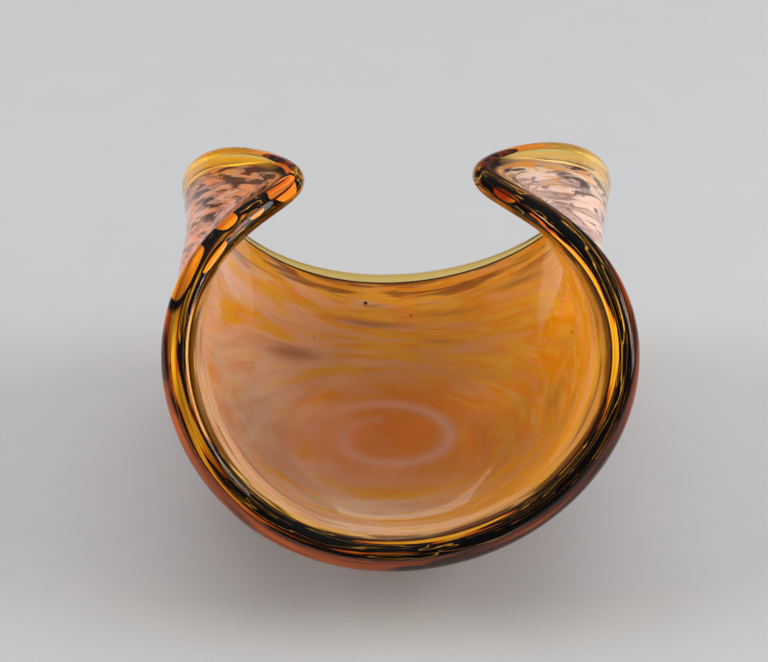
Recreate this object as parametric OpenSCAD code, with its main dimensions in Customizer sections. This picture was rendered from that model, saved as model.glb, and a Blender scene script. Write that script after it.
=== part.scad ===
// Folded art glass bowl: one blown vessel of fused layers, standing on a flat ground base.
// +Z is up and the origin is the middle of the ground base. Lengths are millimetres.
// The rim is a closed wave: two low lips at the front and back, two tips curled in over the bowl.

/* [Rim] */
// Half width of the rim before its sides curl back
rim_half_w = 80.5; // [76:0.5:88]
// How far the two sides curl back over the bowl
curl = 35; // [30:0.5:38]
// Extra tightness of the curl at the tips
tip_pinch = 7; // [5:0.5:8]
// Half depth of the rim from the front lip to the back lip
rim_half_d = 98; // [90:1:108]
// How square the rim looks from above
squareness = 5.5; // [3:0.5:7]
// Height halfway between the tips and the lips
rim_mid_z = 94.5; // [88:0.5:100]
// Rise of the tips above that height, and drop of the lips below it
fold = 60; // [54:0.5:62]
// How flat the curled tips lie
tip_droop = 6; // [4:0.5:7]
// How much one side stands taller, made by hand
hand_tilt = 1.5; // [0:0.5:3]
// How far the rim sits to one side of the foot, made by hand
hand_shift = 1.5; // [0:0.5:4]
// How much one corner leans out further, made by hand
hand_lean = 2; // [0:0.5:4]
// How far the back lip sinks, made by hand
hand_dip = 3.6; // [0:0.2:5]
// How far one front corner is pushed out, made by hand
hand_push = 3; // [0:0.5:4]

/* [Wall] */
// Thickness of the floor above the pad
floor_t = 13; // [12:0.5:15]
// Thickness of the wall at the lip
lip_t = 14; // [12:0.5:14]
// How much thinner the wall is at the two tips
tip_thin = 3.5; // [1:0.5:4]
// Thickness of the amber inner gather
amber_t = 3; // [2:0.5:5]
// Thickness of the layer that holds the colours
colour_t = 2; // [1.5:0.5:2.5]
// Roundness of the belly above the foot
belly = 60; // [54:1:64]
// How much rounder the belly is at the sides than at the front and back
belly_sides = 8; // [4:1:12]
// Roundness of the wall under the rim
shoulder = 48; // [44:1:52]
// How much rounder the shoulder is under the tips than under the lips
shoulder_tips = 12; // [8:1:16]
// How strongly the wall leans in under the tips
tip_lean = 0.85; // [0.7:0.05:0.95]
// How strongly the wall leans out under the four corners
corner_lean = 0.3; // [0.2:0.05:0.4]

/* [Base] */
// Half width of the flat floor
floor_half_w = 36; // [34:1:38]
// Half depth of the flat floor
floor_half_d = 30; // [28:1:32]
// Radius of the ground pad
pad_r = 28; // [24:1:28]
// Height of the ground pad
pad_h = 4; // [3:0.5:6]
// Number of turns in the floor swirl
swirl_turns = 1.25; // [1:0.25:2]
// Width of the swirl's ridge
swirl_w = 2.4; // [1.6:0.2:3]

/* [Streaks] */
// Cells round the wall, a multiple of the streak spacing
columns = 72; // [56:8:80]
// Cells up the wall, four to each band of streaks
rows = 16; // [12:4:16]

/* [Hidden] */
push_angle = 310;
lip_lean = 0.85;
lip_rise = 0.33;
corner_rise = 0.5;
spacing = 8;
band_rows = 4;
streak_rows = 3;
streak_cells = 2;
lip_steps = 4;
colour_inner = amber_t;
colour_outer = amber_t + colour_t;

function unit(v) = v / norm(v);
function flat(lists) = [for (list = lists) for (item = list) item];

// ---- the middle of the wall: a curve from the flat floor out and up to the rim, for every angle a

function even_rim(a) = [
    rim_half_w * cos(a) - curl * cos(3 * a) - tip_pinch * cos(5 * a),
    rim_half_d * sin(a) - squareness * sin(3 * a) - squareness / 2 * sin(5 * a),
    rim_mid_z + fold * cos(2 * a) - tip_droop * cos(4 * a) - tip_droop / 2 * cos(6 * a)
];

// how the rim differs from an even one, because it is shaped by hand
function by_hand(a) =
    let (push = hand_push * pow((1 + cos(a - push_angle)) / 2, 3))
    [
        hand_shift - hand_lean * cos(4 * a) + push * cos(push_angle),
        push * sin(push_angle),
        hand_tilt * cos(a) - hand_dip * pow((1 + sin(a)) / 2, 2)
    ];

function rim(a) = even_rim(a) + by_hand(a);

// the way the wall is heading when it reaches the rim: in at the tips, out at the lips and corners
function rim_heading(a) = unit([
    cos(a) * (corner_lean - (corner_lean + tip_lean) * cos(2 * a)),
    lip_lean * sin(a),
    lip_rise + corner_rise * pow(sin(2 * a), 2)
]);

function foot(a) = [floor_half_w * cos(a), floor_half_d * sin(a), pad_h + floor_t / 2];

function belly_point(a) = foot(a) + (belly + belly_sides * cos(2 * a)) * [cos(a), sin(a), 0];

function shoulder_point(a) = rim(a) - (shoulder + shoulder_tips * cos(2 * a)) * rim_heading(a);

function middle(a, t) =
    pow(1 - t, 3) * foot(a)
    + 3 * t * pow(1 - t, 2) * belly_point(a)
    + 3 * t * t * (1 - t) * shoulder_point(a)
    + pow(t, 3) * rim(a);

function climb(a, t) =
    3 * pow(1 - t, 2) * (belly_point(a) - foot(a))
    + 6 * t * (1 - t) * (shoulder_point(a) - belly_point(a))
    + 3 * t * t * (rim(a) - shoulder_point(a));

function outward(a, t) =
    t == 0 ? [0, 0, -1] : unit(cross(middle(a + 0.5, t) - middle(a - 0.5, t), climb(a, t)));

// ---- rings of points round the bowl

function angle(i) = 360 * i / columns;
function lip_at(i) = lip_t - tip_thin * pow(cos(angle(i)), 4);
function thickness(i, j) = floor_t + (lip_at(i) - floor_t) * j / rows;

middles = [for (j = [0:rows]) [for (i = [0:columns - 1]) middle(angle(i), j / rows)]];
normals = [for (j = [0:rows]) [for (i = [0:columns - 1]) outward(angle(i), j / rows)]];
headings = [for (i = [0:columns - 1]) unit(climb(angle(i), 1))];

// one point of the wall, a given depth below its inner face
function wall_point(i, j, depth) =
    middles[j][i % columns] + (depth - thickness(i, j) / 2) * normals[j][i % columns];

function wall_ring(j, depth) = [for (i = [0:columns - 1]) wall_point(i, j, depth)];
function outer_ring(j) = [for (i = [0:columns - 1]) wall_point(i, j, thickness(i, j))];

// the rounded lip: turn 0 is its inner edge, 90 its crown and 180 its outer edge
function lip_ring(turn) = [
    for (i = [0:columns - 1])
        middles[rows][i] + lip_at(i) / 2 * (sin(turn) * headings[i] - cos(turn) * normals[rows][i])
];

// ---- solids

// a solid bounded by rings: the first and last are closed flat, and the walls turn back after the ring
// numbered top, where the cut across each cell changes over to match the neighbouring layer
module ringed_solid(rings, top) {
    last = len(rings) - 1;
    function corner(k, i) = k * columns + i % columns;
    strips = [
        for (k = [0:last - 1], i = [0:columns - 1])
            let (a = corner(k, i), b = corner(k, i + 1), c = corner(k + 1, i + 1), d = corner(k + 1, i))
            k < top ? [[a, b, c], [a, c, d]] : [[a, b, d], [b, c, d]]
    ];
    first_cap = [for (i = [columns - 1:-1:0]) corner(0, i)];
    last_cap = [for (i = [0:columns - 1]) corner(last, i)];
    polyhedron(flat(rings), concat([first_cap, last_cap], flat(strips)), convexity = 6);
}

// the colour a cell of the coloured layer is made of
function cell_colour(i, j) =
    let (
        band = floor((j - 1) / band_rows),
        row = (j - 1) % band_rows,
        place = (i - row - 3 * band + 2 * columns) % spacing
    )
    j < 1 || row >= streak_rows ? "opaline"
    : place < streak_cells ? "brown"
    : place >= spacing / 2 && place < spacing / 2 + streak_cells ? "rust"
    : "opaline";

// the faces of one cell: its two broad faces, and a side wherever the next cell is not its colour.
// p(i, j, s) numbers a point, where s is 0 on the inner side of the layer and 1 on the outer side
function cell_faces(i, j, colour, p) =
    let (
        broad = [
            [p(i, j, 0), p(i + 1, j, 0), p(i + 1, j + 1, 0)],
            [p(i, j, 0), p(i + 1, j + 1, 0), p(i, j + 1, 0)],
            [p(i, j, 1), p(i + 1, j + 1, 1), p(i + 1, j, 1)],
            [p(i, j, 1), p(i, j + 1, 1), p(i + 1, j + 1, 1)]
        ],
        below = j == 0 || cell_colour(i, j - 1) == colour ? [] : side([i, j], [i + 1, j], false, p),
        above = j < rows - 1 && cell_colour(i, j + 1) == colour
            ? [] : side([i, j + 1], [i + 1, j + 1], true, p),
        before = cell_colour(i + columns - 1, j) == colour ? [] : side([i, j], [i, j + 1], true, p),
        after = cell_colour(i + 1, j) == colour ? [] : side([i + 1, j], [i + 1, j + 1], false, p)
    )
    concat(broad, below, above, before, after);

// two triangles between the inner and outer sides of one cell edge
function side(from, to, ahead, p) =
    let (
        a = p(from[0], from[1], 0),
        b = p(to[0], to[1], 0),
        c = p(to[0], to[1], 1),
        d = p(from[0], from[1], 1)
    )
    ahead ? [[a, b, c], [a, c, d]] : [[a, c, b], [a, d, c]];

// ---- nodes

module amber_gather() {
    color([0.93, 0.72, 0.22, 0.5])
        ringed_solid(concat(
            [for (j = [0:rows]) wall_ring(j, 0)],
            [for (s = [1:lip_steps]) lip_ring(90 * s / lip_steps)],
            [wall_ring(rows, colour_outer)],
            [for (j = [rows:-1:0]) wall_ring(j, colour_inner)]
        ), rows + lip_steps);
}

module clear_casing() {
    color([0.9, 0.86, 0.84, 0.35])
        ringed_solid(concat(
            [for (j = [0:rows]) wall_ring(j, colour_outer)],
            [for (s = [0:lip_steps - 1]) lip_ring(90 + 90 * s / lip_steps)],
            [for (j = [rows:-1:0]) outer_ring(j)]
        ), rows + 1);
}

module opaline_layer() {
    p = function(i, j, s) (s * (rows + 1) + j) * columns + i % columns;
    points = concat(
        flat([for (j = [0:rows]) wall_ring(j, colour_inner)]),
        flat([for (j = [0:rows]) wall_ring(j, colour_outer)])
    );
    cells = [
        for (j = [0:rows - 1], i = [0:columns - 1])
            if (cell_colour(i, j) == "opaline") cell_faces(i, j, "opaline", p)
    ];
    floor_top = [for (i = [columns - 1:-1:0]) p(i, 0, 0)];
    floor_bottom = [for (i = [0:columns - 1]) p(i, 0, 1)];
    color([0.96, 0.8, 0.74])
        polyhedron(points, concat([floor_top, floor_bottom], flat(cells)), convexity = 6);
}

// one streak: a few cells in each row, each row one cell further round than the row below
module streak(start, low_row, colour) {
    wide = streak_cells + streak_rows - 1;
    p = function(i, j, s) (s * (streak_rows + 1) + j - low_row) * (wide + 1) + i - start;
    points = [
        for (depth = [colour_inner, colour_outer], j = [0:streak_rows], i = [0:wide])
            wall_point(start + i, low_row + j, depth)
    ];
    cells = [
        for (j = [0:streak_rows - 1], i = [0:streak_cells - 1])
            cell_faces(start + i + j, low_row + j, colour, p)
    ];
    polyhedron(points, flat(cells), convexity = 4);
}

module streaks(colour, offset) {
    for (band = [0:rows / band_rows - 1], k = [0:columns / spacing - 1])
        streak((k * spacing + 3 * band + offset) % columns, 1 + band * band_rows, colour);
}

module rust_streaks() {
    color([0.75, 0.33, 0.08]) streaks("rust", spacing / 2);
}

module brown_streaks() {
    color([0.13, 0.06, 0.05]) streaks("brown", 0);
}

// the thick clear bottom, ground flat and bevelled at its edge
module base_pad() {
    bevel = 1;
    color([0.92, 0.88, 0.86, 0.35])
        rotate_extrude($fn = 96)
            polygon([[0, 0], [pad_r - bevel, 0], [pad_r, bevel], [pad_r, pad_h], [0, pad_h]]);
}

// the raised spiral on the floor: a low rounded ridge that lies flat on the amber gather and winds in
// clockwise from one side
module base_swirl() {
    steps = 64;
    sides = 6;
    floor_z = pad_h + floor_t;
    start_angle = 185;
    outer_reach = 0.94;
    inner_reach = 0.45;
    reach = function(s) outer_reach + (inner_reach - outer_reach) * s;
    taper = function(s) 0.25 + 0.75 * sin(180 * s);
    line = function(s, across)
        let (a = start_angle - 360 * swirl_turns * s)
        [(floor_half_w * reach(s) + across) * cos(a), (floor_half_d * reach(s) + across) * sin(a)];
    points = [
        for (k = [0:steps], n = [0:sides - 1])
            let (s = k / steps, turn = 180 * n / (sides - 1), half = swirl_w / 2 * taper(s))
            let (xy = line(s, half * cos(turn)))
            [xy[0], xy[1], floor_z + half * 0.6 * sin(turn)]
    ];
    walls = [
        for (k = [0:steps - 1], n = [0:sides - 1])
            let (next = (n + 1) % sides, a = k * sides + n, b = k * sides + next)
            [[a, a + sides, b + sides], [a, b + sides, b]]
    ];
    start_cap = [for (n = [0:sides - 1]) n];
    end_cap = [for (n = [sides - 1:-1:0]) steps * sides + n];
    color([0.98, 0.86, 0.8])
        polyhedron(points, concat([start_cap, end_cap], flat(walls)), convexity = 8);
}

amber_gather();
opaline_layer();
rust_streaks();
brown_streaks();
clear_casing();
base_pad();
base_swirl();
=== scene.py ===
import math

import bpy
import numpy as np
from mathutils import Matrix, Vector


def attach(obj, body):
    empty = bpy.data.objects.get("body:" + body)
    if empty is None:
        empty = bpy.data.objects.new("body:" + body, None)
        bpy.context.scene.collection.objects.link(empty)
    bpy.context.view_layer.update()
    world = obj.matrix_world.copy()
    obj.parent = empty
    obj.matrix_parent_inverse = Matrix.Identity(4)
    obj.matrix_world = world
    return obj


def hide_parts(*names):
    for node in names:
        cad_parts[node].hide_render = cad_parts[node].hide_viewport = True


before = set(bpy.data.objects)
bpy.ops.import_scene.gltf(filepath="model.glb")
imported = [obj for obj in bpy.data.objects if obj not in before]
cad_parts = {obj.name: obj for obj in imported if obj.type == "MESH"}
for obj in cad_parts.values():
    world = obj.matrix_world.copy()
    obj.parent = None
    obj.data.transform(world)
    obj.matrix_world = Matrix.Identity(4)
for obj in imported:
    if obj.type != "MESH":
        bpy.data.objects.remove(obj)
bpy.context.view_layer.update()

MM = 0.001

# ---- the folded wall, by the same rules as the CAD model. Lengths in metres, angles in radians

RIM_HALF_W, CURL, TIP_PINCH = 80.5 * MM, 35 * MM, 7 * MM
RIM_HALF_D, SQUARENESS = 98 * MM, 5.5 * MM
RIM_MID_Z, FOLD, TIP_DROOP = 94.5 * MM, 60 * MM, 6 * MM
HAND_TILT, HAND_LEAN, HAND_SHIFT, HAND_DIP = 1.5 * MM, 2 * MM, 1.5 * MM, 3.6 * MM
HAND_PUSH, PUSH_ANGLE = 3 * MM, math.radians(310)
FLOOR_T, LIP_T, TIP_THIN, PAD_H = 13 * MM, 14 * MM, 3.5 * MM, 4 * MM
BELLY, BELLY_SIDES = 60 * MM, 8 * MM
SHOULDER, SHOULDER_TIPS = 48 * MM, 12 * MM
TIP_LEAN, CORNER_LEAN, LIP_LEAN = 0.85, 0.3, 0.85
LIP_RISE, CORNER_RISE = 0.33, 0.5
FLOOR_HALF_W, FLOOR_HALF_D = 36 * MM, 30 * MM
AMBER_T, COLOUR_T = 3 * MM, 2 * MM
SWIRL_START, SWIRL_TURNS, SWIRL_OUTER, SWIRL_INNER, SWIRL_W = math.radians(185), 1.25, 0.94, 0.45, 2.4 * MM
SKIN = 0.25 * MM  # the outside is kept this far inside the CAD's, whose flat facets cut its curves short

# how finely the glass is meshed: points round the bowl, rings on the floor, up the wall, over the lip
AROUND, FLOOR_RINGS, WALL_RINGS, LIP_RINGS, EDGE_RINGS = 320, 36, 96, 20, 4
WALL_PATH = 190 * MM  # about how far it is along the wall from the floor to the rim


def unit(v):
    return v / np.linalg.norm(v, axis=-1, keepdims=True)


def rim(a):
    push = HAND_PUSH * ((1 + np.cos(a - PUSH_ANGLE)) / 2) ** 3
    x = (RIM_HALF_W * np.cos(a) - CURL * np.cos(3 * a) - TIP_PINCH * np.cos(5 * a)
         - HAND_LEAN * np.cos(4 * a) + HAND_SHIFT + push * math.cos(PUSH_ANGLE))
    y = (RIM_HALF_D * np.sin(a) - SQUARENESS * np.sin(3 * a) - SQUARENESS / 2 * np.sin(5 * a)
         + push * math.sin(PUSH_ANGLE))
    z = (RIM_MID_Z + FOLD * np.cos(2 * a) - TIP_DROOP * np.cos(4 * a) - TIP_DROOP / 2 * np.cos(6 * a)
         + HAND_TILT * np.cos(a) - HAND_DIP * ((1 + np.sin(a)) / 2) ** 2)
    return np.stack([x, y, z], -1)


def lip_thickness(a):
    return LIP_T - TIP_THIN * np.cos(a) ** 4


def rim_heading(a):
    x = np.cos(a) * (CORNER_LEAN - (CORNER_LEAN + TIP_LEAN) * np.cos(2 * a))
    return unit(np.stack([x, LIP_LEAN * np.sin(a), LIP_RISE + CORNER_RISE * np.sin(2 * a) ** 2], -1))


def foot(a):
    z = np.full_like(a, PAD_H + FLOOR_T / 2)
    return np.stack([FLOOR_HALF_W * np.cos(a), FLOOR_HALF_D * np.sin(a), z], -1)


def belly_point(a):
    out = np.stack([np.cos(a), np.sin(a), np.zeros_like(a)], -1)
    return foot(a) + (BELLY + BELLY_SIDES * np.cos(2 * a))[..., None] * out


def shoulder_point(a):
    return rim(a) - (SHOULDER + SHOULDER_TIPS * np.cos(2 * a))[..., None] * rim_heading(a)


def middle(a, t):
    t = t[..., None]
    return ((1 - t) ** 3 * foot(a) + 3 * t * (1 - t) ** 2 * belly_point(a)
            + 3 * t * t * (1 - t) * shoulder_point(a) + t ** 3 * rim(a))


def climb(a, t):
    t = t[..., None]
    return unit((1 - t) ** 2 * (belly_point(a) - foot(a))
                + 2 * t * (1 - t) * (shoulder_point(a) - belly_point(a))
                + t * t * (rim(a) - shoulder_point(a)))


def outward(a, t):
    step = 0.01
    return unit(np.cross(middle(a + step, t) - middle(a - step, t), climb(a, t)))


def wall(a, t, depth):
    """Points of the wall at angle a, t of the way up, a given depth below its inner face."""
    a, t, depth = np.broadcast_arrays(a, t, depth)
    half = (FLOOR_T + (lip_thickness(a) - FLOOR_T) * t) / 2
    return middle(a, t) + (depth - half)[..., None] * outward(a, t)


def floor_point(a, q, z):
    """Points of the floor, q of the way from its middle to the foot of the wall, at height z."""
    a, q, z = np.broadcast_arrays(a, q, z)
    return np.stack([FLOOR_HALF_W * q * np.cos(a), FLOOR_HALF_D * q * np.sin(a), z], -1)


# ---- rings of points. Each ring also knows how far along the glass it lies, for the colours

ANGLES = np.linspace(0, 2 * np.pi, AROUND, endpoint=False)[None, :]
FLOOR_Q = np.linspace(0.02, 1, FLOOR_RINGS, endpoint=False)[:, None]
WALL_T = np.linspace(0, 1, WALL_RINGS)[:, None]
PATH_END = FLOOR_HALF_W + WALL_PATH
PATH_UP = np.concatenate([FLOOR_Q * FLOOR_HALF_W, FLOOR_HALF_W + WALL_T * WALL_PATH])[:, 0] / PATH_END


def swirl(a, q, width):
    """How strong the floor's spiral is at a point: 1 on its line, 0 away from it. It winds in clockwise."""
    strength = np.zeros(np.broadcast(a, q).shape)
    for turn in range(math.ceil(SWIRL_TURNS)):
        along = (np.mod(SWIRL_START - a, 2 * np.pi) / (2 * np.pi) + turn) / SWIRL_TURNS
        off = (q - SWIRL_OUTER - (SWIRL_INNER - SWIRL_OUTER) * along) * FLOOR_HALF_W
        taper = np.where(along < 1, 0.25 + 0.75 * np.sin(np.pi * np.clip(along, 0, 1)), 0)
        strength = np.maximum(strength, taper * np.exp(-(off / width) ** 2))
    return strength


def layer(depth, ridge=0.0):
    """The whole of one layer's face: the flat floor out from its middle, then the wall up to the rim."""
    z = PAD_H + FLOOR_T - depth + ridge * swirl(ANGLES, FLOOR_Q, SWIRL_W)
    return np.concatenate([floor_point(ANGLES, FLOOR_Q, z), wall(ANGLES, WALL_T, depth)])


def across_lip(out, up):
    """Points beside the middle of the lip: so far out from it, and so far up towards its crown."""
    one = np.ones_like(ANGLES)
    n, h = outward(ANGLES, one), climb(ANGLES, one)
    return middle(ANGLES, one) + (out + 0 * ANGLES)[..., None] * n + (up + 0 * ANGLES)[..., None] * h


def tip_share(power):
    """1 at the two folded-in tips and 0 along the rest of the rim."""
    return np.abs(np.cos(ANGLES)) ** power


def lobe_share():
    """1 along the two lobes behind the tips, where the lip is clear amber, and 0 elsewhere."""
    return (np.clip((np.sin(ANGLES) - 0.12) / 0.1, 0, 1)
            * np.clip((np.abs(np.cos(ANGLES)) - 0.62) / 0.15, 0, 1))


# ---- meshes

def make_piece(name, points, faces):
    mesh = bpy.data.meshes.new(name)
    mesh.from_pydata(points, [], faces)
    mesh.polygons.foreach_set("use_smooth", [True] * len(faces))
    mesh.update()
    piece = bpy.data.objects.new(name, mesh)
    bpy.context.collection.objects.link(piece)
    return piece


def ring_mesh(name, rings, tube=False):
    """A smooth closed mesh through rings of points. The first and last ring are joined to each other in
    a tube, and closed flat otherwise."""
    count, around = rings.shape[:2]
    index = np.arange(count * around).reshape(count, around)
    onward = np.roll(index, -1, 0) if tube else index[1:]
    here = index if tube else index[:-1]
    quads = np.stack([here, onward, np.roll(onward, -1, 1), np.roll(here, -1, 1)], -1)
    faces = quads.reshape(-1, 4).tolist()
    if not tube:
        faces += [index[0].tolist(), index[-1, ::-1].tolist()]
    return make_piece(name, rings.reshape(-1, 3).tolist(), faces)


def mark(piece, **values):
    """Stores one number, or three, at every point of a piece for its material to read."""
    for name, data in values.items():
        data = np.asarray(data, dtype=np.float32)
        kind, key = ("FLOAT_VECTOR", "vector") if data.shape[-1] == 3 else ("FLOAT", "value")
        store = piece.data.attributes.new(name, kind, "POINT")
        store.data.foreach_set(key, data.ravel())


def flow_marks(piece, path):
    """Marks where each point lies in the drawn-out glass. flow is the bowl laid out flat, with its
    distance from the middle again as a third number, so that a pattern squeezed along that one runs
    round the bowl. place is the way round, and how far up."""
    path = np.asarray(path)[:, None] * np.ones_like(ANGLES)
    sweep, r = ANGLES - 1.1 * path, path * PATH_END
    flow = np.stack([r * np.cos(sweep), r * np.sin(sweep), r], -1)
    place = np.stack([np.cos(ANGLES) + 0 * path, np.sin(ANGLES) + 0 * path, path], -1)
    mark(piece, flow=flow.reshape(-1, 3), place=place.reshape(-1, 3))


def run_marks(piece, depth):
    """Marks how far along the rim each point lies, and how deep under the bowl's inner face. Also how
    near it is to a tip, to a front arm's window of clear amber, and to the lobe behind a tip."""
    radius = 90 * MM
    run = np.stack([radius * np.cos(ANGLES) + 0 * depth, radius * np.sin(ANGLES) + 0 * depth,
                    depth + 0 * ANGLES], -1)
    window = np.zeros(np.broadcast(ANGLES, depth).shape)
    for angle, across, length, width in WINDOWS:
        off = (np.degrees(ANGLES) - angle + 180) % 360 - 180
        aside = (depth - across * MM) / (width * MM)
        window = np.maximum(window, np.exp(-(off / length) ** 2 - aside ** 2))
    mark(piece, run=run.reshape(-1, 3), window=window.ravel(), arm=(tip_share(14) + 0 * depth).ravel(),
         lobe=(lobe_share() + 0 * depth).ravel())


def soft_spots(path, spots):
    """The strength of some soft oval spots: each has its angle, how far up, half length and half height."""
    path = np.asarray(path)[:, None]
    strength = np.zeros(np.broadcast(ANGLES, path).shape)
    for angle, up, length, height, weight in spots:
        off = (np.degrees(ANGLES) - angle + 180) % 360 - 180
        slope = off / length
        aside = (path - up - 0.02 * slope) / height
        strength = np.maximum(strength, weight * np.exp(-slope ** 2 - aside ** 2))
    return strength


# ---- materials

def srgb(r, g, b, a=1.0):
    def channel(v):
        v = v / 255
        return v / 12.92 if v <= 0.04045 else ((v + 0.055) / 1.055) ** 2.4
    return channel(r), channel(g), channel(b), a


class Nodes:
    """Adds nodes to a node tree. An input is either another node's output or a plain value."""

    def __init__(self, tree):
        self.tree = tree

    def feed(self, socket, value):
        if isinstance(value, bpy.types.NodeSocket):
            self.tree.links.new(value, socket)
        elif value is not None:
            socket.default_value = value

    def add(self, kind, inputs=(), **settings):
        node = self.tree.nodes.new(kind)
        for key, value in settings.items():
            setattr(node, key, value)
        for key, value in dict(inputs).items():
            self.feed(node.inputs[key], value)
        return node


class Shader(Nodes):
    """Builds one material's nodes."""

    def __init__(self, name):
        self.material = bpy.data.materials.new(name)
        self.material.use_nodes = True
        super().__init__(self.material.node_tree)
        self.tree.nodes.clear()
        self.output = self.tree.nodes.new("ShaderNodeOutputMaterial")

    def mark(self, name, part="Vector"):
        return self.add("ShaderNodeAttribute", attribute_name=name).outputs[part]

    def parts(self, vector):
        return self.add("ShaderNodeSeparateXYZ", {0: vector}).outputs

    def math(self, operation, a, b=None, c=None, clamp=False):
        inputs = {k: v for k, v in enumerate((a, b, c)) if v is not None}
        return self.add("ShaderNodeMath", inputs, operation=operation, use_clamp=clamp).outputs[0]

    def stretch(self, vector, x, y, z):
        return self.add("ShaderNodeVectorMath", {0: vector, 1: (x, y, z)}, operation="MULTIPLY").outputs[0]

    def noise(self, vector, detail=3.0, rough=0.5, bend=0.0):
        inputs = {"Vector": vector, "Scale": 1.0, "Detail": detail, "Roughness": rough, "Distortion": bend}
        return self.add("ShaderNodeTexNoise", inputs).outputs[0]

    def step(self, value, low, high):
        inputs = {"Value": value, "From Min": low, "From Max": high}
        return self.add("ShaderNodeMapRange", inputs, interpolation_type="SMOOTHSTEP").outputs["Result"]

    def mix(self, share, a, b, kind="MIX"):
        node = self.add("ShaderNodeMix", data_type="RGBA", blend_type=kind)
        self.feed(node.inputs[0], share)
        self.feed(node.inputs[6], a)
        self.feed(node.inputs[7], b)
        return node.outputs[2]

    def bump(self, height, strength, distance):
        inputs = {"Height": height, "Strength": strength, "Distance": distance}
        return self.add("ShaderNodeBump", inputs).outputs[0]

    def principled(self, **inputs):
        named = {key.replace("_", " "): value for key, value in inputs.items()}
        return self.add("ShaderNodeBsdfPrincipled", named).outputs[0]

    def blend(self, share, a, b):
        return self.add("ShaderNodeMixShader", {0: share, 1: a, 2: b}).outputs[0]

    def finish(self, surface):
        self.feed(self.output.inputs["Surface"], surface)
        return self.material


CLEAR_TINT = (0.98, 0.965, 0.955, 1)
DARK_EDGE = srgb(46, 24, 12)


def clear_glass():
    """The clear glass body: amber over the lip and a little inside, colourless outside."""
    s = Shader("clear_glass")
    amber = s.mark("amber", "Fac")
    colour = s.mix(amber, CLEAR_TINT, (1.0, 0.74, 0.2, 1))
    glass = s.principled(Base_Color=colour, Roughness=0.0, IOR=1.5, Transmission_Weight=1.0)
    lamp_tint = s.mix(amber, CLEAR_TINT, (1.0, 0.86, 0.55, 1))
    through = s.add("ShaderNodeBsdfTransparent", {"Color": lamp_tint}).outputs[0]
    shadow = s.add("ShaderNodeLightPath").outputs["Is Shadow Ray"]
    return s.finish(s.blend(shadow, glass, through))


def ground_glass():
    """The flat ground base: the same glass, matt from grinding."""
    s = Shader("ground_glass")
    grain = s.noise(s.stretch(s.add("ShaderNodeTexCoord").outputs["Object"], 3000, 3000, 3000), 2.0)
    colour = s.mix(grain, (0.9, 0.87, 0.84, 1), (0.98, 0.95, 0.93, 1))
    glass = s.principled(Base_Color=colour, Roughness=0.45, IOR=1.5, Transmission_Weight=0.85)
    return s.finish(glass)


def opaline(s, colour, see_through):
    """Milky glass: some of the light goes through it. Fused inside clear glass it has no gloss of its own."""
    solid = s.principled(Base_Color=colour, Roughness=0.5, Specular_IOR_Level=0.0)
    lit_from_behind = s.add("ShaderNodeBsdfTranslucent", {"Color": colour}).outputs[0]
    return s.finish(s.blend(see_through, solid, lit_from_behind))


def lobe_amber(s):
    """What shows through the clear lip of the lobes: olive yellow on the left, paler on the right."""
    x = s.parts(s.mark("run"))[0]
    return s.mix(s.step(x, -0.02, 0.02), srgb(222, 186, 70), srgb(214, 196, 160))


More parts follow.
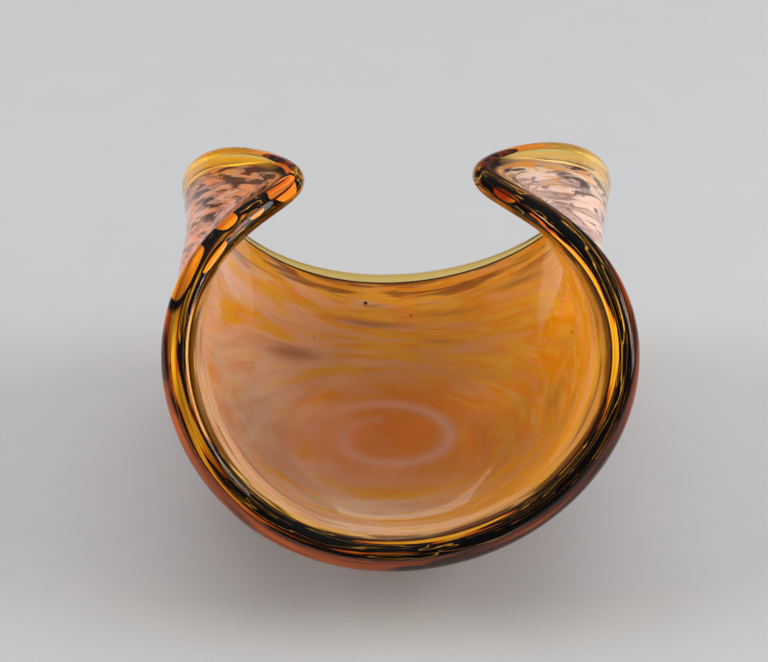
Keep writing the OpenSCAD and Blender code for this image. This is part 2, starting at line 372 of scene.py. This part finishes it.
def opaline_inside():
    """The inner face of the milky layer, seen through amber: peach to orange in soft drawn-out clouds."""
    s = Shader("opaline_inside")
    flow, place = s.mark("flow"), s.mark("place")
    x, y, up = (s.parts(place)[k] for k in range(3))
    clouds = s.noise(s.stretch(flow, 24, 24, 40), 0.6, 0.5, 0.5)
    flecks = s.noise(s.stretch(flow, 44, 44, 78), 1.0, 0.5, 0.5)
    hairs = s.noise(s.stretch(flow, 40, 40, 260), 2.0, 0.5, 0.2)

    # amber grows from the left wall to the right and the back
    side = s.math("MULTIPLY_ADD", x, 0.62, 0.56)
    side = s.math("MULTIPLY_ADD", y, 0.26, side)
    amber = s.math("MULTIPLY_ADD", s.math("SUBTRACT", clouds, 0.5), 2.9, side)
    amber = s.math("MULTIPLY_ADD", s.math("SUBTRACT", flecks, 0.5), 1.8, amber)
    amber = s.step(amber, -0.05, 1.05)
    peach = s.mix(s.step(flecks, 0.35, 0.65), srgb(250, 214, 184), srgb(255, 238, 220))
    peach = s.mix(s.step(x, 0.0, 0.7), peach, srgb(255, 204, 128))
    orange = s.mix(s.step(flecks, 0.36, 0.64), srgb(255, 174, 6), srgb(255, 204, 66))
    colour = s.mix(amber, peach, orange)
    rusty = s.math("MULTIPLY", s.step(clouds, 0.46, 0.28), 0.3)
    colour = s.mix(rusty, colour, srgb(236, 150, 66))
    colour = s.mix(s.math("MULTIPLY", s.step(hairs, 0.52, 0.75), 0.3), colour, srgb(252, 216, 180))
    # painted shade: the back wall is darkened towards a dull amber, standing in for the shade that falls
    # there
    behind = s.math("MULTIPLY", s.step(y, 0.5, 1.0), 0.5)
    colour = s.mix(behind, colour, srgb(196, 122, 34))

    # the floor is a deeper orange, with the pale spiral on it
    deep = s.math("MULTIPLY", s.step(up, 0.34, 0.02), 0.9)
    colour = s.mix(deep, colour, srgb(240, 142, 8))
    colour = s.mix(s.math("MULTIPLY", s.mark("swirl", "Fac"), 0.85), colour, srgb(244, 196, 172))

    # soft purple-brown clouds, and the dark streaks drawn along the rim
    colour = s.mix(s.math("MULTIPLY", s.mark("cloud", "Fac"), 0.7), colour, srgb(128, 84, 66))
    smoke = s.noise(s.stretch(flow, 22, 22, 150), 2.0, 0.5, 0.4)
    front = s.math("MULTIPLY", s.step(y, 0.1, -0.25), s.step(up, 0.945, 0.98))
    drawn = s.math("MULTIPLY", s.step(smoke, 0.38, 0.5), s.math("MULTIPLY", front, 0.85))
    colour = s.mix(drawn, colour, srgb(66, 34, 16))
    smoke = s.math("MULTIPLY", s.step(smoke, 0.5, 0.64), s.step(up, 0.8, 0.95))
    colour = s.mix(s.math("MULTIPLY", smoke, 0.75), colour, srgb(118, 62, 30))
    colour = s.mix(s.step(up, 0.988, 0.996), colour, DARK_EDGE)
    lobe = s.math("MULTIPLY", s.mark("lobe", "Fac"), s.step(up, 0.88, 0.94))
    colour = s.mix(lobe, colour, lobe_amber(s))
    return opaline(s, colour, 0.5)


def opaline_outside():
    """The outer face of the milky layer: pinkish white, with grey arcs and dark feathers like agate."""
    s = Shader("opaline_outside")
    flow, place = s.mark("flow"), s.mark("place")
    x, y, up = (s.parts(place)[k] for k in range(3))
    patch = s.noise(s.stretch(flow, 28, 28, 80), 2.0, 0.5, 0.4)
    agate = s.noise(s.stretch(flow, 17, 17, 240), 2.0, 0.5, 0.6)
    feather = s.noise(s.stretch(flow, 34, 34, 230), 3.0, 0.5, 0.5)
    milk = s.mix(s.step(agate, 0.35, 0.65), srgb(208, 186, 184), srgb(240, 226, 222))
    milk = s.mix(s.math("MULTIPLY", s.step(x, 0.1, -0.4), 0.55), milk, srgb(206, 146, 104))
    left = s.math("MULTIPLY", x, -0.12)
    peach = s.step(s.math("ADD", patch, left), 0.5, 0.64)
    colour = s.mix(s.math("MULTIPLY", peach, 0.8), milk, srgb(232, 156, 104))
    rings = s.math("ABSOLUTE", s.math("SUBTRACT", agate, 0.46))
    colour = s.mix(s.math("MULTIPLY", s.step(rings, 0.07, 0.0), 0.75), colour, srgb(124, 108, 112))
    near_rim = s.step(up, 0.84, 1.0)
    feather = s.math("MULTIPLY_ADD", x, -0.03, feather)
    dark = s.step(s.math("MULTIPLY_ADD", near_rim, 0.12, feather), 0.58, 0.68)
    colour = s.mix(s.math("MULTIPLY", dark, 0.85), colour, srgb(62, 38, 30))
    gold = s.math("MULTIPLY", s.step(feather, 0.46, 0.34), near_rim)
    colour = s.mix(gold, colour, srgb(232, 170, 84))
    drawn = s.math("MULTIPLY", s.step(y, 0.0, -0.3), s.step(up, 0.84, 0.94))
    rust = s.mix(s.step(feather, 0.42, 0.58), srgb(128, 60, 10), srgb(34, 14, 5))
    colour = s.mix(s.math("MULTIPLY", drawn, 0.9), colour, rust)
    cut_edge = s.mix(s.step(y, 0.0, -0.2), DARK_EDGE, srgb(90, 40, 8))
    cut_edge = s.mix(s.mark("lobe", "Fac"), cut_edge, lobe_amber(s))
    colour = s.mix(s.step(up, 0.975, 0.99), colour, cut_edge)
    return opaline(s, colour, 0.5)


def drawn_streaks(s):
    """Long tapered patches round the rim as one number. They are shorter and rounder near the tips."""
    run = s.mark("run")
    long = s.noise(s.stretch(run, 24, 24, 430), 2.0, 0.5, 0.3)
    broad = s.noise(s.stretch(run, 12, 12, 240), 1.0, 0.5, 0.2)
    drawn = s.math("MULTIPLY_ADD", s.math("SUBTRACT", broad, 0.5), 0.45, long)
    blotch = s.noise(s.stretch(run, 62, 62, 190), 2.0, 0.5, 0.5)
    apart = s.math("SUBTRACT", s.math("SUBTRACT", blotch, 0.06), drawn)
    return s.math("MULTIPLY_ADD", s.mark("arm", "Fac"), apart, drawn)


def embedded(s, colour):
    """Opaque coloured glass fused inside clear glass, so it has no gloss of its own."""
    return s.finish(s.principled(Base_Color=colour, Roughness=0.5, Specular_IOR_Level=0.0))


def clear_on_lobes(s, colour):
    """Leaves only amber along the lobes behind the tips."""
    return s.mix(s.mark("lobe", "Fac"), colour, lobe_amber(s))


def amber_window(s, colour, fine):
    """Adds the clear amber windows with their dark edges. Those at the tips are redder, and the one on
    the right arm is dark red."""
    window = s.mark("window", "Fac")
    colour = s.mix(s.step(window, 0.16, 0.26), colour, srgb(14, 6, 4))
    amber = s.mix(s.step(fine, 0.35, 0.65), srgb(236, 146, 12), srgb(248, 182, 44))
    red = s.mix(s.step(fine, 0.35, 0.65), srgb(222, 112, 34), srgb(240, 162, 96))
    red = s.mix(s.step(s.parts(s.mark("run"))[0], 0.0, 0.03), red, srgb(146, 50, 12))
    amber = s.mix(s.step(s.mark("arm", "Fac"), 0.6, 0.75), amber, red)
    return s.mix(s.step(window, 0.4, 0.44), colour, amber)


def brown_glass():
    """Black-brown chips drawn out along the lip, with amber and gold between them. The front of the lip
    has the most black."""
    s = Shader("brown_glass")
    front = s.step(s.parts(s.mark("run"))[1], -0.05, -0.085)
    streaks = s.math("MULTIPLY_ADD", front, -0.035, drawn_streaks(s))
    fine = s.noise(s.stretch(s.mark("run"), 24, 24, 1900), 2.0, 0.5, 0.3)
    black = s.mix(s.step(fine, 0.55, 0.85), srgb(5, 3, 3), srgb(60, 28, 12))
    hair = s.step(s.math("ABSOLUTE", s.math("SUBTRACT", fine, 0.6)), 0.012, 0.002)
    black = s.mix(s.math("MULTIPLY", hair, 0.8), black, srgb(214, 162, 54))
    gold = s.mix(s.step(fine, 0.35, 0.65), srgb(224, 160, 20), srgb(246, 212, 92))
    gold = s.mix(s.step(streaks, 0.605, 0.57), gold, srgb(206, 100, 8))
    colour = s.mix(s.step(streaks, 0.55, 0.565), black, gold)
    outline = s.step(s.math("ABSOLUTE", s.math("SUBTRACT", streaks, 0.44)), 0.008, 0.002)
    colour = s.mix(s.math("MULTIPLY", outline, 0.9), colour, srgb(232, 184, 90))
    return embedded(s, clear_on_lobes(s, amber_window(s, colour, fine)))


def rust_glass():
    """Rust-brown chips drawn out along the lip, with dark streaks between them. There is more rust, and
    it is lighter, on the left."""
    s = Shader("rust_glass")
    left = s.step(s.parts(s.mark("run"))[0], 0.01, -0.04)
    streaks = s.math("MULTIPLY_ADD", left, 0.14, drawn_streaks(s))
    fine = s.noise(s.stretch(s.mark("run"), 20, 20, 1300), 3.0, 0.5, 0.3)
    rust = s.mix(s.step(fine, 0.35, 0.65), srgb(112, 44, 4), srgb(172, 84, 10))
    rust = s.mix(s.math("MULTIPLY", left, 0.7), rust, srgb(212, 116, 22))
    dark = s.mix(s.step(fine, 0.4, 0.7), srgb(18, 7, 3), srgb(96, 42, 10))
    colour = s.mix(s.step(streaks, 0.49, 0.55), dark, rust)
    lines = s.noise(s.stretch(s.mark("run"), 30, 30, 2600), 2.0, 0.5, 0.3)
    colour = s.mix(s.math("MULTIPLY", s.step(lines, 0.5, 0.6), 0.6), colour, srgb(38, 15, 5))
    return embedded(s, clear_on_lobes(s, amber_window(s, colour, fine)))


def maroon_glass():
    """Dark maroon glass, mottled with red."""
    s = Shader("maroon_glass")
    grain = s.noise(s.stretch(s.add("ShaderNodeTexCoord").outputs["Object"], 220, 220, 420), 3.0, 0.5, 1.0)
    return embedded(s, s.mix(s.step(grain, 0.4, 0.65), srgb(20, 8, 8), srgb(112, 40, 18)))


def seed_glass():
    """Unmelted dark colour."""
    s = Shader("seed_glass")
    grain = s.noise(s.stretch(s.add("ShaderNodeTexCoord").outputs["Object"], 2500, 2500, 2500), 2.0)
    colour = s.mix(grain, srgb(30, 14, 8), srgb(78, 40, 20))
    return embedded(s, colour)


def studio_paper():
    """Pale matt paper."""
    s = Shader("studio_paper")
    grain = s.noise(s.stretch(s.add("ShaderNodeTexCoord").outputs["Object"], 40, 40, 40), 2.0)
    colour = s.mix(grain, (0.35, 0.35, 0.355, 1), (0.365, 0.365, 0.37, 1))
    return s.finish(s.principled(Base_Color=colour, Roughness=0.8))


# ---- pieces

# the ground base from its edge inward: radius and height in mm
BASE_PROFILE = [(29.2, 4), (28.6, 3.8), (28, 3.2), (28, 1.0), (27.7, 0.3), (27, 0), (18, 0), (9, 0)]
AMBER_FADE = 8  # over how many rings on either side of the lip the amber fades


def glass_body(glass):
    """The clear and amber glass as one body: inner face, rounded lip, outer face and ground base."""
    turns = (np.pi * np.linspace(0, 1, LIP_RINGS + 2)[1:-1])[:, None]
    radius = lip_thickness(ANGLES) / 2 - SKIN * turns / np.pi
    inner = layer(0.0, ridge=0.3 * MM)
    over = across_lip(-radius * np.cos(turns), radius * np.sin(turns))
    outer = wall(ANGLES, WALL_T, FLOOR_T + (lip_thickness(ANGLES) - FLOOR_T) * WALL_T - SKIN)[::-1]
    base = [np.stack([r * MM * np.cos(ANGLES), r * MM * np.sin(ANGLES), z * MM + 0 * ANGLES], -1)
            for r, z in BASE_PROFILE]
    rings = np.concatenate([inner, over, outer] + base)
    piece = ring_mesh("glass_body", rings)
    order = np.arange(len(rings)) - len(inner)
    amber = 0.25 + 0.75 * np.clip((order + AMBER_FADE) / AMBER_FADE, 0, 1)
    amber = np.where(order > LIP_RINGS, np.clip(1 - (order - LIP_RINGS) / AMBER_FADE, 0, 1), amber)
    mark(piece, amber=np.repeat(amber, AROUND))
    piece.data.materials.append(glass)
    piece.data.materials.append(ground_glass())
    slots = np.zeros(len(piece.data.polygons), dtype=np.int32)
    slots[(len(rings) - 3) * AROUND:-2] = 1
    slots[-1] = 1
    piece.data.polygons.foreach_set("material_index", slots)
    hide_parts("clear_casing", "amber_gather", "base_pad", "base_swirl")
    return piece


# soft dark clouds in the milky layer: degrees round the bowl, share of the way up, half its length in
# degrees, half its height as a share of the way up, strength
CLOUDS = [(123, 0.45, 8, 0.045, 0.9), (94, 0.755, 9, 0.03, 0.9), (76, 0.79, 7, 0.018, 0.6),
          (74, 0.55, 6, 0.022, 0.45), (61, 0.84, 6, 0.02, 0.8), (2, 0.42, 7, 0.04, 0.5),
          (20, 0.6, 5, 0.03, 0.35), (215, 0.5, 8, 0.04, 0.3), (318, 0.62, 8, 0.03, 0.4)]
# clear amber windows in the colours along the front arms: degrees round the rim, how deep under the
# inner face, half length in degrees, half width in depth
WINDOWS = [(187, 7.5, 5.5, 5.5), (201.5, 9.0, 2.2, 2.6), (211.5, 9.5, 5.0, 2.4), (197, 5.0, 2.0, 1.2),
           (208, 4.6, 3.5, 1.2), (349, 5.0, 3.2, 1.7)]
SEEDS = [(94.5, 0.894, 0.7), (84.5, 0.814, 0.5), (112, 0.573, 0.4), (20, 0.556, 0.8), (233, 0.9, 0.6)]


def opaline_lining(drawn_colours):
    """The milky layer, a thin closed shell inside the glass, with the drawn-out colours on its cut edge."""
    inside, outside = layer(AMBER_T), layer(AMBER_T + COLOUR_T)[::-1]
    depth = AMBER_T + COLOUR_T * np.linspace(0, 1, EDGE_RINGS + 2)[1:-1, None]
    edge = wall(ANGLES, 1.0, depth)
    piece = ring_mesh("opaline_lining", np.concatenate([inside, edge, outside]))
    path = np.concatenate([PATH_UP, np.ones(EDGE_RINGS), PATH_UP[::-1]])
    flow_marks(piece, path)
    depths = [np.full((len(inside), 1), AMBER_T), depth, np.full((len(outside), 1), AMBER_T + COLOUR_T)]
    run_marks(piece, np.concatenate(depths))
    spiral = np.zeros((len(path), AROUND))
    spiral[:FLOOR_RINGS] = swirl(ANGLES, FLOOR_Q, 1.5 * SWIRL_W)
    mark(piece, swirl=spiral.ravel(), cloud=soft_spots(path, CLOUDS).ravel())
    piece.data.materials.append(opaline_inside())
    piece.data.materials.append(opaline_outside())
    piece.data.materials.append(drawn_colours)
    slots = np.zeros(len(piece.data.polygons), dtype=np.int32)
    slots[(len(inside) - 1) * AROUND:] = 2
    slots[(len(inside) + EDGE_RINGS) * AROUND:] = 1
    slots[-2] = 0
    piece.data.polygons.foreach_set("material_index", slots)
    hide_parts("opaline_layer")
    return piece


def drawn_ribbon(name, first, last, material, node):
    """Colour drawn out along the rim inside the glass: a thin lens-shaped band, between two shares of
    the way from the milky layer to the outside. It swells up into the crown at the two tips, and dies
    away behind them, where the lip is clear."""
    lanes = np.linspace(0, 1, 17)[:, None]
    share = first + (last - first) * lanes
    inner = AMBER_T + COLOUR_T + 0.1 * MM
    front = 1 - 0.92 * np.clip((np.sin(ANGLES) - 0.14) / 0.2, 0, 1)
    lip = lip_thickness(ANGLES)
    out = inner + (lip - inner) * share * front - lip / 2
    wave = 0.4 * MM * np.sin(7 * ANGLES + 4 * lanes) + 0.3 * MM * np.sin(19 * ANGLES - 6 * lanes)
    level = wave - 3.6 * MM + 4.0 * MM * tip_share(40) - 1.6 * MM * (1 - front)
    swell = (0.1 + 0.7 * front) * MM * np.sin(np.pi * lanes)
    top = across_lip(out, level + swell)
    under = across_lip(out, level - swell)[::-1][1:-1]
    piece = ring_mesh(name, np.concatenate([top, under]), tube=True)
    round_trip = np.concatenate([share, share[::-1][1:-1]])
    run_marks(piece, inner + (LIP_T - inner) * round_trip)
    piece.data.materials.append(material)
    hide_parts(node)
    return piece


def blobs(name, centres, sizes, inward, seed):
    """Small uneven balls, in one mesh. Bubbles face inward: the glass is outside them."""
    rng = np.random.default_rng(seed)
    rows, columns = 8, 12
    down = np.pi * (np.arange(rows) + 0.5) / rows
    turns = 2 * np.pi * np.arange(columns) / columns
    ball = np.stack([np.sin(down)[:, None] * np.cos(turns), np.sin(down)[:, None] * np.sin(turns),
                     np.cos(down)[:, None] + 0 * turns], -1).reshape(-1, 3)
    points, faces = [], []
    for centre, size in zip(centres, sizes):
        start = len(points)
        points += (centre + ball * size * rng.uniform(0.75, 1.3, 3)).tolist()
        index = start + np.arange(rows * columns).reshape(rows, columns)
        after = np.roll(index, -1, 1)
        faces += np.stack([index[:-1], index[1:], after[1:], after[:-1]], -1).reshape(-1, 4).tolist()
        faces += [index[0].tolist(), index[-1, ::-1].tolist()]
    if inward:
        faces = [face[::-1] for face in faces]
    return make_piece(name, points, faces)


def tip_cap(side, material):
    """A slug of maroon glass caught in the lip just behind a tip, tapered at both ends."""
    first = {"right": 1, "left": 165}[side]
    spots = np.radians(np.linspace(first, first + 14, 28))
    ends = np.sqrt(np.sin(np.pi * np.linspace(0.02, 0.98, 28)))[:, None]
    one = np.ones_like(spots)
    middle_line, n, h = (way(spots, one)[:, None] for way in (middle, outward, climb))
    turns = np.linspace(0, 2 * np.pi, 20, endpoint=False)
    out = (2.4 + 1.9 * ends * np.cos(turns)) * MM
    up = (1.4 + 1.8 * ends * np.sin(turns)) * MM
    piece = ring_mesh("tip_cap_" + side, middle_line + out[..., None] * n + up[..., None] * h)
    piece.data.materials.append(material)
    return piece


def tip_bubbles(glass):
    """Clusters of air bubbles caught in the glass where the rim turns at each tip."""
    rng = np.random.default_rng(11)
    centres, sizes = [], []
    for tip in (0.0, np.pi):
        for _ in range(12):
            a = tip + rng.uniform(-0.06, 0.03)
            spot = np.array([a])
            n, h = outward(spot, np.ones(1))[0], climb(spot, np.ones(1))[0]
            size = rng.uniform(0.6, 1.2) * MM
            centres.append(rim(spot)[0] + n * rng.uniform(-3.0, 2.6) * MM + h * rng.uniform(1.2, 2.8) * MM)
            sizes.append(size)
    piece = blobs("tip_bubbles", centres, sizes, True, 3)
    mark(piece, amber=np.full(len(piece.data.vertices), 0.5))
    piece.data.materials.append(glass)
    return piece


def seeds():
    """A few tiny dark specks of unmelted colour, just over the milky layer."""
    centres, sizes = [], []
    for angle, up, size in SEEDS:
        t = np.array([(up * PATH_END - FLOOR_HALF_W) / WALL_PATH])
        centres.append(wall(np.radians([angle]), t, AMBER_T - size * MM)[0])
        sizes.append(size * MM)
    piece = blobs("seeds", centres, sizes, False, 5)
    piece.data.materials.append(seed_glass())
    return piece


# ---- the studio

def studio_floor():
    """A wide pale table."""
    points = [(x, y, 0.0) for x, y in ((-6, -6), (6, -6), (6, 6), (-6, 6))]
    floor = make_piece("studio_floor", points, [(0, 1, 2, 3)])
    floor.data.materials.append(studio_paper())


def look_at(thing, place, target):
    thing.location = place
    thing.rotation_euler = (Vector(target) - Vector(place)).to_track_quat("-Z", "Y").to_euler()


def softbox(name, place, size, watts, seen=True):
    light = bpy.data.lights.new(name, "AREA")
    light.shape = "RECTANGLE"
    light.size, light.size_y = size
    light.energy = watts
    lamp = bpy.data.objects.new(name, light)
    bpy.context.collection.objects.link(lamp)
    lamp.visible_glossy = seen
    look_at(lamp, place, (0, 0, 0.06))


def sky():
    """Soft light from overhead, which the glass hardly mirrors, as behind black cards."""
    world = bpy.data.worlds.new("studio")
    bpy.context.scene.world = world
    world.use_nodes = True
    n = Nodes(world.node_tree)
    background = world.node_tree.nodes["Background"]
    way = n.add("ShaderNodeTexCoord").outputs["Generated"]
    height = n.add("ShaderNodeVectorMath", {0: way, 1: (0.05, 0.4, 0.91)}, operation="DOT_PRODUCT")
    ends = {"Value": height.outputs["Value"], "From Min": 0.1, "From Max": 0.95,
            "To Min": 0.3, "To Max": 0.85}
    fade = n.add("ShaderNodeMapRange", ends, interpolation_type="SMOOTHSTEP").outputs["Result"]
    mirrored = n.add("ShaderNodeLightPath").outputs["Is Glossy Ray"]
    share = n.add("ShaderNodeMath", {0: mirrored, 1: -0.75, 2: 1.0}, operation="MULTIPLY_ADD").outputs[0]
    strength = n.add("ShaderNodeMath", {0: fade, 1: share}, operation="MULTIPLY").outputs[0]
    background.inputs["Color"].default_value = (0.97, 0.98, 1.0, 1)
    n.feed(background.inputs["Strength"], strength)


def studio_light():
    """The sky, four fill lights that nothing mirrors, a softbox that draws the highlight along the left
    arm, and a small panel behind, which the near wall mirrors."""
    sky()
    softbox("fill_top", (0.0, 0.7, 1.5), (1.4, 1.0), 10, seen=False)
    softbox("fill_front", (0.0, -1.3, 1.5), (1.4, 1.0), 1.5, seen=False)
    softbox("fill_left", (-1.4, 0.0, 0.95), (0.9, 0.9), 18, seen=False)
    softbox("fill_right", (1.4, 0.1, 0.95), (0.9, 0.9), 18, seen=False)
    softbox("softbox_right", (1.3, -0.52, 0.75), (0.45, 1.1), 5.4)
    softbox("panel_back", (-0.06, 1.8, 0.33), (0.5, 0.45), 0.42)


def camera():
    distance, elevation = 1.1, math.radians(33)
    target = (-1.7 * MM, 0.0, 70.4 * MM)
    data = bpy.data.cameras.new("camera")
    data.sensor_width = 36
    data.lens = 122.8
    data.clip_end = 20
    view = bpy.data.objects.new("camera", data)
    bpy.context.collection.objects.link(view)
    place = (target[0], -distance * math.cos(elevation), target[2] + distance * math.sin(elevation))
    look_at(view, place, target)
    bpy.context.scene.camera = view


camera()
studio_floor()
studio_light()
bpy.context.scene.view_settings.view_transform = "Standard"

glass, brown, maroon = clear_glass(), brown_glass(), maroon_glass()
pieces = [
    glass_body(glass),
    opaline_lining(brown),
    drawn_ribbon("brown_ribbon", 0.0, 0.47, brown, "brown_streaks"),
    drawn_ribbon("rust_ribbon", 0.48, 0.86, rust_glass(), "rust_streaks"),
    tip_cap("left", maroon),
    tip_cap("right", maroon),
    tip_bubbles(glass),
    seeds(),
]
for piece in pieces:
    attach(piece, "root")
